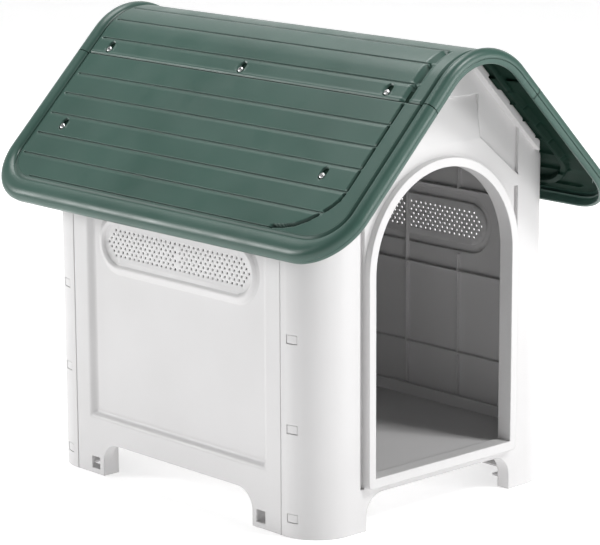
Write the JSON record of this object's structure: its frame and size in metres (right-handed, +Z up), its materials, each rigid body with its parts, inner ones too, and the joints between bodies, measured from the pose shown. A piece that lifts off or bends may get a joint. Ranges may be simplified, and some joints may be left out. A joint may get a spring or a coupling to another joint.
{
  "type": "plastic dog kennel",
  "caption": "Small plastic dog kennel with an arched doorway, vented side walls, a raised floor and a screwed-on gable roof moulded as planks.",
  "frame": {"origin": "on the ground, under the middle of the roof's outline", "axes": "+Z up, -Y out through the doorway, the ridge along Y, +X to the right of someone facing the doorway"},
  "size_m": [0.5806, 0.75, 0.66],
  "materials": {
    "wall_plastic": "satin moulded",
    "roof_plastic": "satin moulded",
    "screw_metal": "zinc plated"
  },
  "bodies": {
    "root": {"floor_panel": "wall_plastic", "front_panel": "wall_plastic", "rear_panel": "wall_plastic", "left_side_panel": "wall_plastic", "right_side_panel": "wall_plastic", "roof_left_panel": "roof_plastic", "roof_right_panel": "roof_plastic", "ridge_cap": "roof_plastic", "ridge_screw_left_front": "screw_metal", "ridge_screw_left_middle": "screw_metal", "ridge_screw_left_rear": "screw_metal", "ridge_screw_right_front": "screw_metal", "ridge_screw_right_middle": "screw_metal", "ridge_screw_right_rear": "screw_metal", "eave_screw_left_front": "screw_metal", "eave_screw_left_rear": "screw_metal", "eave_screw_right_front": "screw_metal", "eave_screw_right_rear": "screw_metal"}
  },
  "joints": []
}
